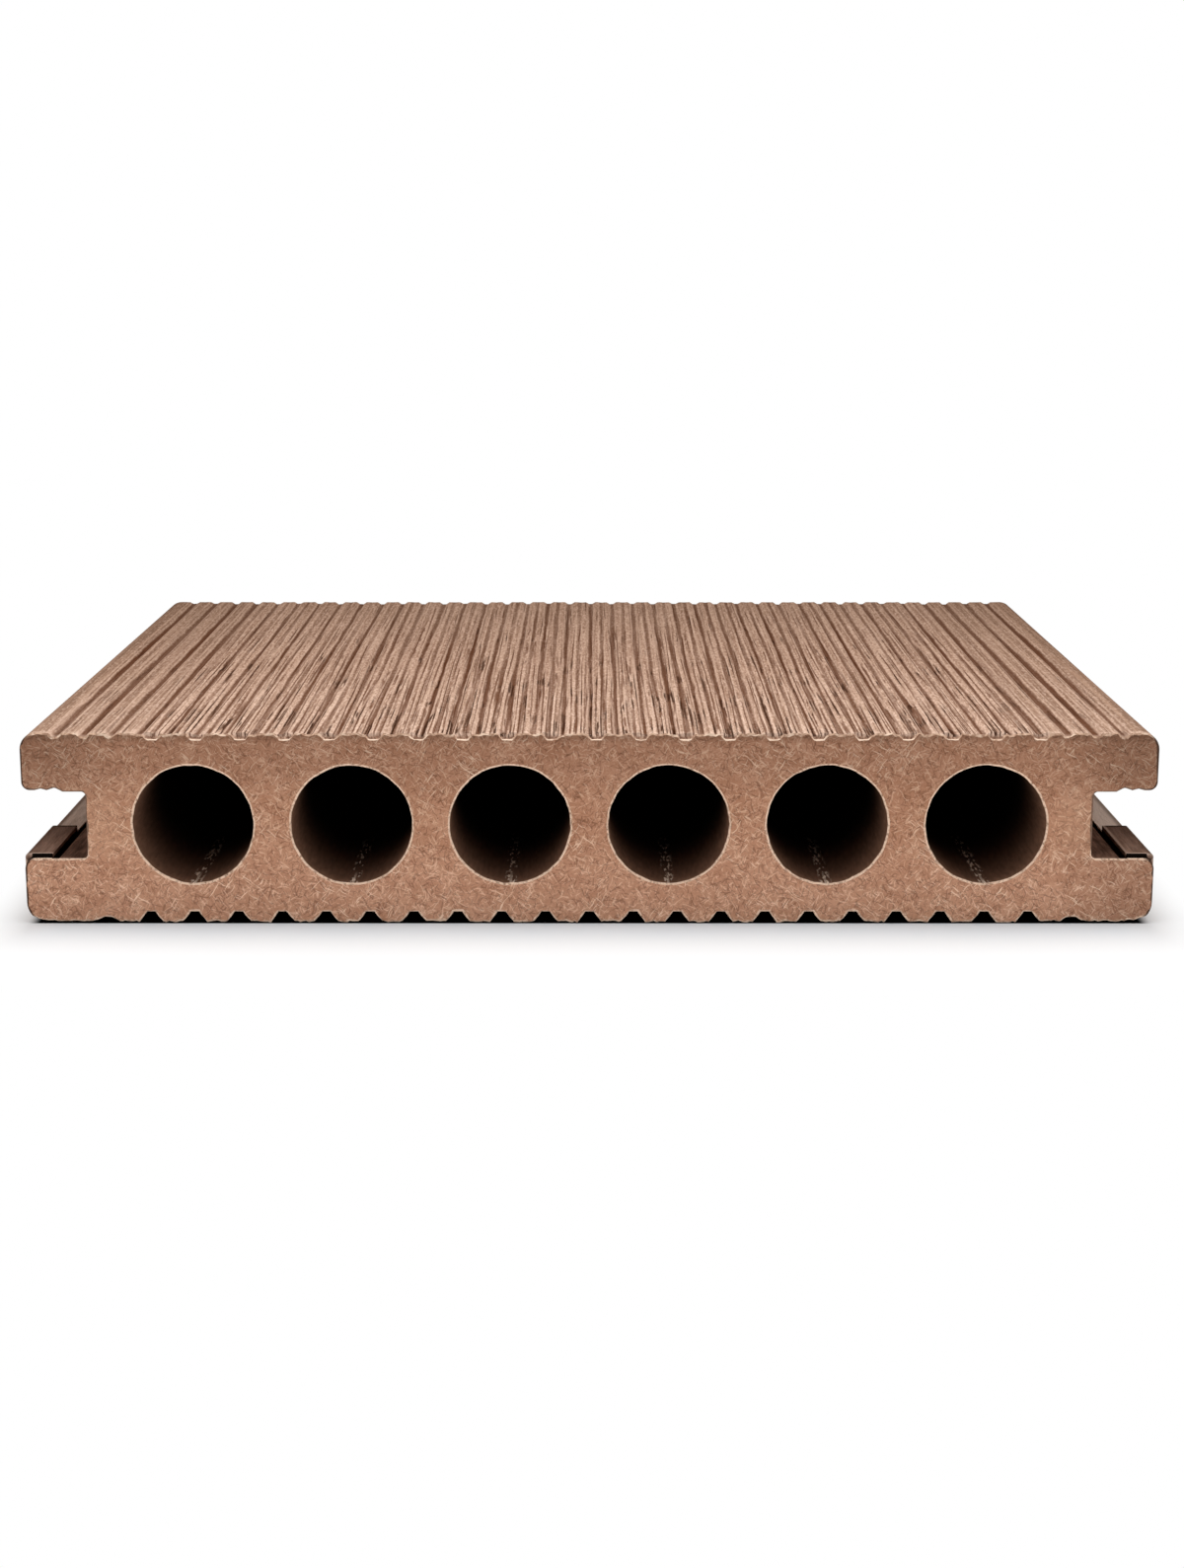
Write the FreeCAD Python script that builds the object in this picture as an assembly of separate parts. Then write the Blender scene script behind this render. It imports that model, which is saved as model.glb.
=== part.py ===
import FreeCAD, Part
import math
import os

# A short sample of hollow extruded decking board, lying flat with its ridged face up.
# It is one extrusion: a row of round bores, a clip slot in each side, fine grooves on
# top and deeper ones below. X runs across the board, Y along the extrusion and Z up,
# from the middle of the underside. All sizes are in millimetres.

# Board
WIDTH = 150.0
HEIGHT = 25.9
LENGTH = 120.0
TOP_EDGE_RADIUS = 2.3
FOOT_RADIUS = 2.8

# Round bores, midway between the floors of the two sets of grooves
BORE_DIAMETER = 16.0
BORE_WEB = 5.0  # wall between two bores, and the least wall beside a slot

# Clip slot in each side, between a lower and an upper lip
LOWER_LIP = 8.9
SLOT_HEIGHT = 9.05
SLOT_DEPTH = 8.4
SLOT_FILLET = 0.6

# Bead along the lower lip: it starts just behind the front end and steps down further back
BEAD_WIDTH = 3.6
BEAD_HEIGHT = 0.5
BEAD_RADIUS = 0.4
BEAD_SETBACK = 0.5
BEAD_DROP_AT = 17.0
BEAD_DROP = 0.75

# Narrow gap between the bead and the slot's floor, as long as the bead
GAP_WIDTH = 1.0
GAP_DEPTH = 0.7

# Two flutes under the upper lip, a deep one beside the flat inner part and a slight one in the nose
NOSE_WIDTH = 3.3
NOSE_RADIUS = 1.1
NOSE_RELIEF = 0.2  # how far the nose stands back above the flat part
FLUTE_WIDTH = 2.1
FLUTE_DEPTH = 0.55
FLUTE_RADIUS = 0.5
NOSE_FLUTE_WIDTH = 1.6
NOSE_FLUTE_DEPTH = 0.22

# Fine grooves in the top
TOP_PITCH = 3.7
TOP_MARGIN = 4.0  # least distance from the board's edge to a groove's centre line
TOP_MOUTH = 1.7
TOP_FLOOR = 0.6
TOP_DEPTH = 0.45

# Deeper grooves in the underside, with one shallow groove beyond them on each side
UNDER_PITCH = 5.85
UNDER_MARGIN = 16.0
UNDER_MOUTH = 3.2
UNDER_FLOOR = 1.1
UNDER_DEPTH = 1.6
SHALLOW_MOUTH = 3.2
SHALLOW_FLOOR = 1.0
SHALLOW_DEPTH = 0.8

SHORTEST_EDGE = 1e-6


def row_centres(room, pitch):
    """Evenly spaced centres about the middle, as many as the room holds."""
    gaps = math.floor(room / pitch)
    return [(index - gaps / 2) * pitch for index in range(gaps + 1)]


def groove(centre, face, depth, mouth, floor):
    """Corners of a trapezoid groove, from left to right; a negative depth cuts downward."""
    return [
        (centre - mouth / 2, face, 0.0),
        (centre - floor / 2, face + depth, 0.0),
        (centre + floor / 2, face + depth, 0.0),
        (centre + mouth / 2, face, 0.0),
    ]


def underside_corners():
    """Corners along the underside, from left to right."""
    centres = row_centres(WIDTH - 2 * UNDER_MARGIN, UNDER_PITCH)
    corners = groove(centres[0] - UNDER_PITCH, 0.0, SHALLOW_DEPTH, SHALLOW_MOUTH, SHALLOW_FLOOR)
    for centre in centres:
        corners += groove(centre, 0.0, UNDER_DEPTH, UNDER_MOUTH, UNDER_FLOOR)
    corners += groove(centres[-1] + UNDER_PITCH, 0.0, SHALLOW_DEPTH, SHALLOW_MOUTH, SHALLOW_FLOOR)
    return corners


def top_corners():
    """Corners along the top, from right to left."""
    corners = []
    for centre in row_centres(WIDTH - 2 * TOP_MARGIN, TOP_PITCH):
        corners += groove(centre, HEIGHT, -TOP_DEPTH, TOP_MOUTH, TOP_FLOOR)
    return corners[::-1]


def side_corners():
    """Corners up the right side: foot, bead, slot, flutes, nose and top edge."""
    edge = WIDTH / 2
    bead = edge - BEAD_WIDTH
    wall = edge - SLOT_DEPTH
    roof = LOWER_LIP + SLOT_HEIGHT
    nose = edge - NOSE_WIDTH
    nose_height = roof + NOSE_RELIEF
    return [
        (edge, 0.0, FOOT_RADIUS),
        (edge, LOWER_LIP + BEAD_HEIGHT, BEAD_RADIUS),
        (bead, LOWER_LIP + BEAD_HEIGHT, 0.0),
        (bead, LOWER_LIP, 0.0),
        (wall, LOWER_LIP, SLOT_FILLET),
        (wall, roof, SLOT_FILLET),
        (nose - FLUTE_WIDTH, roof, 0.0),
        (nose - FLUTE_WIDTH / 2, roof + FLUTE_DEPTH, FLUTE_RADIUS),
        (nose, nose_height, 0.0),
        (nose + NOSE_FLUTE_WIDTH / 2, nose_height + NOSE_FLUTE_DEPTH, FLUTE_RADIUS),
        (nose + NOSE_FLUTE_WIDTH, nose_height, 0.0),
        (edge, nose_height, NOSE_RADIUS),
        (edge, HEIGHT, TOP_EDGE_RADIUS),
    ]


def mirrored(corners):
    """The same corners on the other side of the board, in the opposite order."""
    return [(-x, z, radius) for x, z, radius in reversed(corners)]


def corner_turn(before, corner, after):
    """Start, middle and end of the arc that rounds a corner, or the sharp corner alone."""
    point = FreeCAD.Vector(corner[0], 0.0, corner[1])
    radius = corner[2]
    if radius == 0.0:
        return [point]
    back = FreeCAD.Vector(before[0], 0.0, before[1]) - point
    ahead = FreeCAD.Vector(after[0], 0.0, after[1]) - point
    half_angle = back.getAngle(ahead) / 2
    # A side between two rounded corners is shared, so an arc takes half of it at most.
    room_back = back.Length / (2 if before[2] else 1)
    room_ahead = ahead.Length / (2 if after[2] else 1)
    reach = min(radius / math.tan(half_angle), room_back, room_ahead)
    back.normalize()
    ahead.normalize()
    inward = (back + ahead).normalize()
    to_centre = reach / math.cos(half_angle)
    to_arc = to_centre - reach * math.tan(half_angle)
    return [point + back * reach, point + inward * to_arc, point + ahead * reach]


def outline(corners):
    """Closed wire of straight runs and tangent arcs through (x, z, radius) corners."""
    turns = []
    for index, corner in enumerate(corners):
        turns.append(corner_turn(corners[index - 1], corner, corners[(index + 1) % len(corners)]))
    edges = []
    for index, turn in enumerate(turns):
        start = turns[index - 1][-1]
        if start.distanceToPoint(turn[0]) > SHORTEST_EDGE:
            edges.append(Part.LineSegment(start, turn[0]).toShape())
        if len(turn) == 3:
            edges.append(Part.Arc(*turn).toShape())
    return Part.Wire(edges)


def bore_outlines():
    """Circles of the bores, centred across the board and as many as its webs allow."""
    pitch = BORE_DIAMETER + BORE_WEB
    room = WIDTH - 2 * SLOT_DEPTH - 2 * BORE_WEB - BORE_DIAMETER
    height = (UNDER_DEPTH + HEIGHT - TOP_DEPTH) / 2
    axis = FreeCAD.Vector(0, 1, 0)
    wires = []
    for centre in row_centres(room, pitch):
        circle = Part.Circle(FreeCAD.Vector(centre, 0.0, height), axis, BORE_DIAMETER / 2)
        wires.append(Part.Wire([circle.toShape()]))
    return wires


def lip_cut(side, reach, width, start, end, height):
    """Block that takes a strip of one lip down to a height from start to end; side is 1 or -1.

    The strip's outer side lies at a reach from the middle of the board.
    """
    bottom = LOWER_LIP + height
    top = LOWER_LIP + SLOT_HEIGHT / 2
    middle = side * (reach - width / 2)
    corner = FreeCAD.Vector(middle - width / 2, start, bottom)
    return Part.makeBox(width, end - start, top - bottom, corner)


def decking_board():
    """The whole board, with its length centred on the origin."""
    right = side_corners()
    section = underside_corners() + right + top_corners() + mirrored(right)
    face = Part.makeFace([outline(section)] + bore_outlines(), "Part::FaceMakerBullseye")
    board = face.extrude(FreeCAD.Vector(0, LENGTH, 0))
    edge = WIDTH / 2
    for side in (1, -1):
        board = board.cut(lip_cut(side, edge, BEAD_WIDTH, 0.0, BEAD_SETBACK, 0.0))
        board = board.cut(lip_cut(side, edge, BEAD_WIDTH, BEAD_DROP_AT, LENGTH, BEAD_HEIGHT - BEAD_DROP))
        board = board.cut(lip_cut(side, edge - BEAD_WIDTH, GAP_WIDTH, BEAD_SETBACK, LENGTH, -GAP_DEPTH))
    board.translate(FreeCAD.Vector(0, -LENGTH / 2, 0))
    return board.Solids[0]


os.makedirs("parts", exist_ok=True)
decking_board().exportStep("parts/decking_board.step")
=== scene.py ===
import math

import bmesh
import bpy
import numpy as np
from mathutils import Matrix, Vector
from mathutils.geometry import delaunay_2d_cdt


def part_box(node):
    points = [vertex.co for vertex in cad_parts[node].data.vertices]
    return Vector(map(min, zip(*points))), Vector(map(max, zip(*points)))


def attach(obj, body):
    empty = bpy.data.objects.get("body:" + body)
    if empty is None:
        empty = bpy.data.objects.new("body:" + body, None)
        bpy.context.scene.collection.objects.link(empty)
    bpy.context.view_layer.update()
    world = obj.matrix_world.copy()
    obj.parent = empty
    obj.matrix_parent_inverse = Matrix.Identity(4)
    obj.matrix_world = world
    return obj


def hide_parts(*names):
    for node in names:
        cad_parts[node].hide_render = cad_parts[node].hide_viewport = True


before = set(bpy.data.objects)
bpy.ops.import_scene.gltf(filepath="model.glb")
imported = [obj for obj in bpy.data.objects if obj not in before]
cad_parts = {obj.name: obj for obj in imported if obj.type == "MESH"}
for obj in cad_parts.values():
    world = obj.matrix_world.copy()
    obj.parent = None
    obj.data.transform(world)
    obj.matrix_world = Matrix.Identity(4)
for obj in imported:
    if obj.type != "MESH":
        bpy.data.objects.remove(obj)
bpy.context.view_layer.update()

# A short sample of hollow wood-plastic decking board on a pale floor.
# The board's section comes from the CAD node. This script adds the brushed grain, the cracks,
# the torn saw edges and the colours. Sizes of the board are in millimetres, and those of the
# floor, the lamp and the camera in metres.
MM = 0.001
SEED = 41
TABLE_SIZE = 256

# Spacing of the mesh: round the section, along the board, in the bores and in the sawn ends
TOP_STEP = 0.36
SIDE_STEP = 0.8
UNDER_STEP = 0.38
LIP_STEP = 0.35
FIRST_STEP = 1.4
LAST_STEP = 3.2
END_ROWS = (0.0, 0.2, 0.45, 0.62, 1.0, 1.6, 2.4)
FAR_ROWS = (0.0, 0.2, 0.6, 1.4)
ROW_TOUCH = 0.05
ROW_CLEARANCE = 0.3
BORE_SIDES = 96
BORE_ROW_SKIP = 4
CAP_STEP = 1.5
CAP_JITTER = 0.35
CAP_CLEARANCE = 0.7
BORE_CLEARANCE = 0.9
SHARP_ANGLE = 38.0
LEAST_BEND = 0.03
SAME_LEVEL = 0.02
WELD = 1e-7

# Heights of the section's parts, from the top, from the underside or from the slot's floor
TOP_BAND = 1.0
UNDER_BAND = 2.0
LIP_BAND = 2.0
ROOF_BELOW_TOP = 8.2
FLUTES_BELOW_TOP = 7.4

# Parts of the lips and slots, as distances in from the board's side
BEAD_INSIDE = 3.7
BEAD_ZONE = 3.8
GAP_OUTER = 3.0
GAP_INNER = 5.0
LIP_INSIDE = 4.3
SLOT_INSIDE = 8.6

# Zones of the top, as distances in from the board's side where each starts and is whole
CLEAN_ZONE = (19.0, 14.0)
RIDGED_ZONE = (3.2, 3.8)

# Relief of the top
WANDER = 0.08
FINE_WANDER = 0.03
GRAIN_DEPTH = 0.02
FURROW_DEPTH = 0.07
MIDDLE_DEPTH = 0.16
GROOVE_DEPTH = 0.45
GROOVE_PITCH = 3.7

# Torn edges of the near end
EDGE_BREAK = 0.22
RIM_BREAK = 0.25
RIM_RAGGED = 0.06
TORN_DEPTH = 0.05
NOTCH_DEPTH = 0.87
NOTCH_MOUTH = 2.6
NOTCH_FLOOR = 1.3
NOTCH_LENGTH = 0.55
NOTCH_RAGGED = 0.12
NOTCH_SHIFT = 0.9
LAST_NOTCH = (59.5, 61.5)
NOSE_RADIUS = 1.5
UNDER_LIFT = 0.2
BEAD_LIP = (0.7, 1.2)
BEAD_LEFT = 0.04
GAP_LEFT = 0.05
GAP_DEPTH = 0.7

# Unevenness of the bores and of the sawn ends
BORE_WAVE = 0.03
END_DENT = 0.03
DENT_SIZE = 2.0
NO_SEAM = 9.0
CAP_SEED = 20
DENT_SEED = 30
BORE_SEED = 40
RIM_SEED = 20

# Strength of the surroundings' light
FRONT_LIGHT = 0.22
SIDE_LIGHT = 0.85

# Lamp above the board
LAMP_PLACE = (0.0, 0.07, 0.5)
LAMP_AIM = (0.0, 0.07, 0.0)
LAMP_SIZE = (0.2, 0.4)
LAMP_POWER = 2.1

# Floor
FLOOR_REACH = 4.0
FLOOR_DROP = 0.00002

# Camera, as fitted to the photo
CAMERA_PLACE = (0.00051, -0.38334, 0.08999)
CAMERA_PITCH = 12.376
CAMERA_YAW = 0.03
CAMERA_LENS = 57.63
CAMERA_CLIP = 0.01


def smooth_step(low, high, value):
    """0 below low, 1 above high and a smooth rise between them."""
    part = np.clip((value - low) / (high - low), 0.0, 1.0)
    return part * part * (3.0 - 2.0 * part)


def field(u, v, seed):
    """Smooth random field between -1 and 1, with a fresh value at every whole u and v."""
    table = np.random.default_rng(SEED + seed).uniform(-1.0, 1.0, (TABLE_SIZE, TABLE_SIZE))
    u, v = np.broadcast_arrays(u, v)
    column = np.floor(u).astype(int)
    row = np.floor(v).astype(int)
    across = smooth_step(0.0, 1.0, u - column)
    along = smooth_step(0.0, 1.0, v - row)

    def level(number):
        left = table[column % TABLE_SIZE, number % TABLE_SIZE]
        right = table[(column + 1) % TABLE_SIZE, number % TABLE_SIZE]
        return left * (1 - across) + right * across

    return level(row) * (1 - along) + level(row + 1) * along


def section_loops(solid, station):
    """Closed outlines where a CAD node crosses a station along Y, as rows of (x, z)."""
    mesh = bmesh.new()
    mesh.from_mesh(solid.data)
    bmesh.ops.remove_doubles(mesh, verts=mesh.verts, dist=WELD)
    whole = mesh.verts[:] + mesh.edges[:] + mesh.faces[:]
    cut = bmesh.ops.bisect_plane(mesh, geom=whole, plane_co=(0, station * MM, 0), plane_no=(0, 1, 0))
    neighbours = {}
    for item in cut["geom_cut"]:
        if isinstance(item, bmesh.types.BMEdge):
            first, second = item.verts
            neighbours.setdefault(first, []).append(second)
            neighbours.setdefault(second, []).append(first)
    loops = []
    while neighbours:
        loop = [next(iter(neighbours))]
        while loop[-1] in neighbours:
            onward = [vert for vert in neighbours.pop(loop[-1]) if vert in neighbours]
            loop += onward[:1]
        loops.append(np.array([(vert.co.x, vert.co.z) for vert in loop]) / MM)
    mesh.free()
    return loops


def corners_only(loop):
    """The loop without the points on its straight runs, anticlockwise seen from the near end."""
    back = loop - np.roll(loop, 1, axis=0)
    ahead = np.roll(loop, -1, axis=0) - loop
    turn = back[:, 0] * ahead[:, 1] - back[:, 1] * ahead[:, 0]
    bend = np.abs(turn) / (np.linalg.norm(back, axis=1) * np.linalg.norm(ahead, axis=1))
    corners = loop[bend > LEAST_BEND]
    onward = np.roll(corners, -1, axis=0)
    area = np.sum(corners[:, 0] * onward[:, 1] - corners[:, 1] * onward[:, 0])
    return corners if area > 0 else corners[::-1]


def split_section(solid, station):
    """Corners of the board's outline at a station, and the bores as (x, z, radius)."""
    loops = sorted(section_loops(solid, station), key=lambda loop: -np.ptp(loop[:, 0]))
    bores = []
    for loop in loops[1:]:
        centre = (loop.min(axis=0) + loop.max(axis=0)) / 2
        bores.append((centre[0], centre[1], np.linalg.norm(loop - centre, axis=1).max()))
    return corners_only(loops[0]), sorted(bores)


def groove_centres(corners, floor):
    """Middles of the grooves whose floors lie at a height, from left to right."""
    floors = np.sort(corners[np.abs(corners[:, 1] - floor) < SAME_LEVEL][:, 0])
    return (floors[0::2] + floors[1::2]) / 2


class Section:
    """The CAD board's section and measures, in millimetres."""

    def __init__(self, solid):
        low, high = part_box("decking_board")
        self.front = low[1] / MM
        self.back = high[1] / MM
        self.edge = high[0] / MM
        self.top = high[2] / MM
        self.length = self.back - self.front
        levels = np.unique(np.round([vert.co.y / MM - self.front for vert in solid.data.vertices], 3))
        self.setback = levels[1]
        self.drop = levels[2]
        self.corners, self.bores = split_section(solid, self.front + (self.setback + self.drop) / 2)
        far_corners, _ = split_section(solid, self.front + (self.drop + self.length) / 2)
        self.bead_top = self.lip_height(self.corners)
        self.dropped_top = self.lip_height(far_corners)
        self.floor = self.slot_floor()
        self.grooves = groove_centres(self.corners, self.top - GROOVE_DEPTH)
        self.pitch = (self.grooves[-1] - self.grooves[0]) / (len(self.grooves) - 1)

    def lip_height(self, corners):
        """Height of the bead on the right lower lip."""
        x, z = corners.T
        return z[(x > self.edge - GAP_OUTER) & (z < self.top / 2)].max()

    def slot_floor(self):
        """Height of the right slot's floor, beside its wall."""
        x, z = self.corners.T
        beside_wall = (x > self.edge - 8.0) & (x < self.edge - 6.0)
        return z[beside_wall & (z > 4.0) & (z < self.top / 2)].min()

    def under_grooves(self):
        """Middles of the underside's deep grooves."""
        x, z = self.corners.T
        deepest = z[(z < 3.0) & (np.abs(x) < 40.0)].max()
        return groove_centres(self.corners, deepest)


def point_spacing(middle, section):
    """Spacing of the points on a run of the outline, by the run's middle."""
    across, height = np.abs(middle)
    if height > section.top - TOP_BAND:
        return TOP_STEP
    if height < UNDER_BAND:
        return UNDER_STEP
    if across > section.edge - GAP_INNER and height < section.bead_top + 0.1:
        return LIP_STEP
    return SIDE_STEP


def filled_outline(section):
    """The outline with points added along its runs, close together on top and on the lower lips."""
    points = []
    for start, end in zip(section.corners, np.roll(section.corners, -1, axis=0)):
        step = point_spacing((start + end) / 2, section)
        count = max(1, round(np.linalg.norm(end - start) / step))
        points += [start + (end - start) * index / count for index in range(count)]
    return np.array(points)


def row_distances(length, drop):
    """Distances of the mesh rows from the near end, with two rows close together at the bead's step."""
    rows = list(END_ROWS)
    while rows[-1] < length - 2 * LAST_STEP:
        part = rows[-1] / length
        rows.append(rows[-1] + FIRST_STEP + (LAST_STEP - FIRST_STEP) * part)
    rows = [row for row in rows if abs(row - drop) > ROW_CLEARANCE]
    rows += [drop - ROW_TOUCH, drop + ROW_TOUCH]
    rows += [length - row for row in FAR_ROWS]
    return np.array(sorted(rows))


def nearest(values, places):
    """The nearest of some places for each value."""
    return places[np.abs(values[:, None] - places[None, :]).argmin(axis=1)]


def inward(points):
    """Unit directions from the outline's points into the board, turning smoothly at its corners."""
    run = np.roll(points, -1, axis=0) - points
    size = np.linalg.norm(run, axis=1)
    place = np.concatenate([[0.0], np.cumsum(size)])
    gap = np.abs(place[:-1, None] - (place[None, :-1] + size[None, :] / 2))
    gap = np.minimum(gap, place[-1] - gap)
    weight = np.clip(1.0 - gap / (2.0 * EDGE_BREAK + size[None, :] / 2), 0.0, 1.0)
    along = weight @ run
    along /= np.linalg.norm(along, axis=1)[:, None]
    return np.stack([-along[:, 1], along[:, 0]], axis=1)


def notch_field(x, d, centres):
    """0 to 1 in the short pockets torn into the near edge above the underside's grooves."""
    pockets = np.zeros(np.broadcast(x, d).shape)
    for index, centre in enumerate(centres):
        ramp = (NOTCH_MOUTH / 2 - np.abs(x - centre)) / ((NOTCH_MOUTH - NOTCH_FLOOR) / 2)
        reach = NOTCH_LENGTH + NOTCH_RAGGED * field(index * 1.7, x, 8)
        open_end = 1.0 - smooth_step(reach - NOTCH_RAGGED, reach + NOTCH_RAGGED, d)
        pockets = np.maximum(pockets, np.clip(ramp, 0.0, 1.0) * open_end)
    return pockets


def groove_depth(x, z, d, section):
    """Depth of the CAD grooves, less toward the far end and at the near edge's torn pockets."""
    uneven = 0.15 * field(x / GROOVE_PITCH, d / 30.0, 3)
    depth = (section.top - z) * (1.0 - 0.25 * d / section.length + uneven)
    notched = 1.0 - smooth_step(*LAST_NOTCH, np.abs(x))
    return depth * (1.0 - notched * 0.6 * (1.0 - smooth_step(0.15, 1.1, d)))


def furrow_depth(x, d, across, section):
    """Depth of the fine furrows and of the wider one midway between two grooves."""
    part = d / section.length
    clean = smooth_step(section.edge - CLEAN_ZONE[0], section.edge - CLEAN_ZONE[1], np.abs(x))
    lines = field(x / 0.62, d / 55.0, 4) + 0.35 * field(x / 0.5, d / 14.0, 5)
    near_part = 0.5 + 0.5 * (1.0 - smooth_step(0.35, 0.9, part))
    furrow = smooth_step(0.1, 0.8, lines) * near_part * (1.0 - 0.7 * clean)
    middle = smooth_step(1.3, 1.75, across) * (0.7 + 0.3 * field(x / GROOVE_PITCH, d / 25.0, 7))
    middle = middle * (1.0 - 0.85 * clean) * (1.0 - 0.7 * smooth_step(0.3, 0.9, part))
    return FURROW_DEPTH * furrow + MIDDLE_DEPTH * middle


def top_relief(x, z, d, across, section):
    """Moves the top's points for wandering grooves, furrows, grain and torn pockets."""
    edge = section.edge
    on_top = (z > section.top - TOP_BAND) & (np.abs(x) < edge - 2.2)
    inner = np.where(on_top, 1.0 - smooth_step(edge - 4.0, edge - 2.4, np.abs(x)), 0.0)
    wander = WANDER * field(x / 5.0, d / 40.0, 1) + FINE_WANDER * field(x / 1.4, d / 12.0, 2)
    grain_depth = GRAIN_DEPTH * (1.0 + field(x / 0.7, d / 5.0, 6))
    depth = groove_depth(x, z, d, section)
    depth = depth + inner * (furrow_depth(x, d, across, section) + grain_depth)
    torn = TORN_DEPTH * (1.0 + field(x / 0.45, d / 5.0, 9)) * (1.0 - smooth_step(0.0, 0.5, d))
    pockets = notch_field(x, d, section.under_grooves() + NOTCH_SHIFT) * on_top
    depth = np.maximum(depth + torn, pockets * NOTCH_DEPTH)
    new_x = np.where(on_top, x + inner * wander * smooth_step(0.0, 1.0, d), x)
    new_z = np.where(on_top, section.top - depth, z)
    return new_x, new_z, pockets


def rounded_nose(x, z, cut_back, section):
    """Rounds the outer corner of the lower lip where it is cut back at the near end."""
    centre_x = section.edge - NOSE_RADIUS
    centre_z = section.floor + BEAD_LEFT - NOSE_RADIUS
    u = np.abs(x) - centre_x
    v = z - centre_z
    reach = np.hypot(u, v)
    bent = cut_back & (u > 0) & (v > 0) & (reach > NOSE_RADIUS)
    pull = NOSE_RADIUS / np.maximum(reach, 1e-6)
    new_x = np.where(bent, np.sign(x) * (centre_x + u * pull), x)
    new_z = np.where(bent, centre_z + v * pull, z)
    return new_x, new_z


def lip_relief(x, z, d, section):
    """Takes the beads down where the CAD does, and rounds the lip's nose at the near end."""
    low = section.floor
    full = section.bead_top
    base = low - GAP_DEPTH
    reach = np.abs(x)
    ahead = d < section.setback + ROW_TOUCH
    on_bead = (reach > section.edge - BEAD_ZONE) & (z > low - LIP_BAND) & (z < section.top / 2)
    in_gap = (reach > section.edge - GAP_INNER) & (reach < section.edge - GAP_OUTER)
    in_gap = in_gap & (z > low - LIP_BAND) & (z < low)
    pressed = base + (z - base) * (section.dropped_top - base) / (full - base)
    flattened = low + BEAD_LEFT * (z - low) / (full - low)
    new_z = np.where(on_bead & (d > section.drop) & (z > base), pressed, z)
    new_z = np.where(on_bead & ahead & (z > low), flattened, new_z)
    new_z = np.where(in_gap & ahead, low - GAP_LEFT * (low - z), new_z)
    return rounded_nose(x, new_z, on_bead & ahead, section)


def slot_zones(x, z, d, section):
    """Where the slots are, and the painted shade that blackens the gaps beside and ahead of their beads."""
    reach = np.abs(x)
    floor = section.floor
    beside = reach < section.edge - GAP_OUTER
    in_gap = beside & (z > floor - LIP_BAND)
    in_slot = (reach > section.edge - SLOT_INSIDE) & ((z > floor - ROW_TOUCH) | in_gap)
    in_slot = in_slot & (z < section.top - FLUTES_BELOW_TOP)
    gap = in_slot & beside & (z < floor - ROW_TOUCH)
    ahead = (reach > section.edge - BEAD_INSIDE) & (z > floor - 1.3) & (z < section.top / 2)
    ahead = ahead & (d < BEAD_LIP[0]) & (d > 0.0)
    shadowed = ahead & in_slot & (reach < section.edge - 0.9)
    half_shadowed = ahead & (d < section.setback)
    return in_slot, np.where(gap | shadowed, 1.0, np.where(half_shadowed, 0.45, 0.0))


def slot_mask(x, z, d, in_slot, section):
    """1 on the slots' floor and wall, which take painted shade, and 0.5 on the paler lip behind the bead's
    step, which takes painted light.
    """
    on_lip = (np.abs(x) > section.edge - LIP_INSIDE) & (z < section.top / 2)
    below_roof = in_slot & (z < section.top - ROOF_BELOW_TOP)
    return np.where(below_roof, np.where((d > section.drop) & on_lip, 0.5, 1.0), 0.0)


def bead_mask(x, z, d, in_slot, section):
    """1 on the beads' tops, and 2 at their near ends."""
    bead = in_slot & (np.abs(x) > section.edge - BEAD_INSIDE) & (z > section.floor + 0.2)
    bead = bead & (z < section.top / 2) & (d < section.drop)
    return np.where(bead, np.where(d < BEAD_LIP[1], 2.0, 1.0), 0.0)


def foot_lift(x, d, section):
    """How far the underside's near edge stands off the floor, most of all at its two corners."""
    reach = np.abs(x)
    lift = UNDER_LIFT + 0.13 * field(x / 0.5, d / 4.0, 12) + 0.04 * field(x / 2.5, d / 9.0, 13)
    lift = lift + 0.12 * smooth_step(section.edge - 18.0, section.edge - 12.0, reach)
    lift = lift + 0.22 * smooth_step(section.edge - 5.0, section.edge - 1.5, reach)
    return lift * (1.0 - smooth_step(0.3, 2.4, d))


def break_end(x, z, row, ragged):
    """Draws the points of one end's row into the board, in place."""
    into = inward(np.stack([x[row], z[row]], axis=1)) * EDGE_BREAK * ragged[:, None]
    x[row] += into[:, 0]
    z[row] += into[:, 1]


def board_rows(outline, rows, section):
    """The outer surface as arrays of x and z, one row for each distance, and its colour masks."""
    d = rows[:, None]
    x = np.repeat(outline[None, :, 0], len(rows), axis=0)
    z = np.repeat(outline[None, :, 1], len(rows), axis=0)
    across = np.abs(outline[None, :, 0] - nearest(outline[:, 0], section.grooves))
    in_slot, gap = slot_zones(x, z, d, section)
    x, z, pockets = top_relief(x, z, d, across, section)
    x, z = lip_relief(x, z, d, section)
    slot = slot_mask(x, z, d, in_slot, section)
    foot = np.clip(1.0 - outline[None, :, 1], 0.0, 1.0)
    z = z + foot * foot_lift(x, d, section)
    ragged = 1.0 + 0.8 * field(np.arange(len(outline)) * 0.6, 0.5, 14)
    break_end(x, z, 0, ragged * (1.0 - 0.4 * pockets[0]))
    break_end(x, z, -1, np.ones(len(outline)))
    masks = {"slot": slot, "gap": gap, "notch": pockets}
    masks["bead"] = bead_mask(x, z, d, in_slot, section)
    masks["across"] = np.broadcast_to(across, x.shape)
    return x, z, masks


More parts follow.
